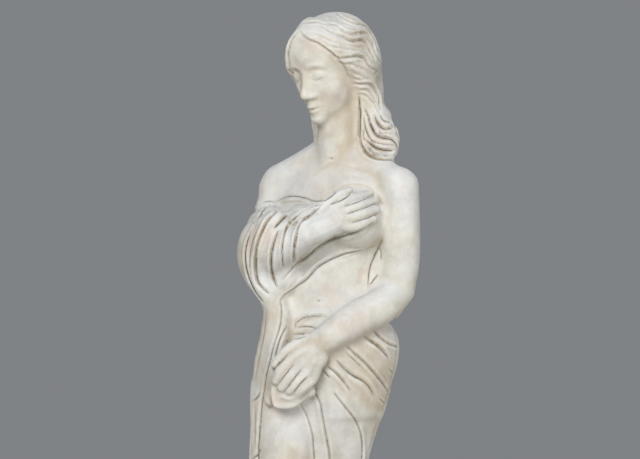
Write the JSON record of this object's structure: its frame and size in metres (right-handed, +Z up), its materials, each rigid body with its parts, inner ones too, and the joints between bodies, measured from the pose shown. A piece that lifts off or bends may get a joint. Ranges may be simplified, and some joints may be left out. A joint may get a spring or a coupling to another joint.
{
  "type": "woman garden statue",
  "caption": "Cast stone garden statue of a standing woman holding loose drapery, head turned and bowed, on a low round base.",
  "frame": {"origin": "centre of the round base's underside", "axes": "+Z up along the figure, the figure faces -Y, +X to the figure's left hand"},
  "size_m": [0.33, 0.33, 1.2013],
  "materials": {
    "cast_stone": "matt off-white cast stone with warm beige and grey-brown weathering in the folds"
  },
  "bodies": {
    "root": {"woman_statue": "cast_stone"}
  },
  "joints": []
}
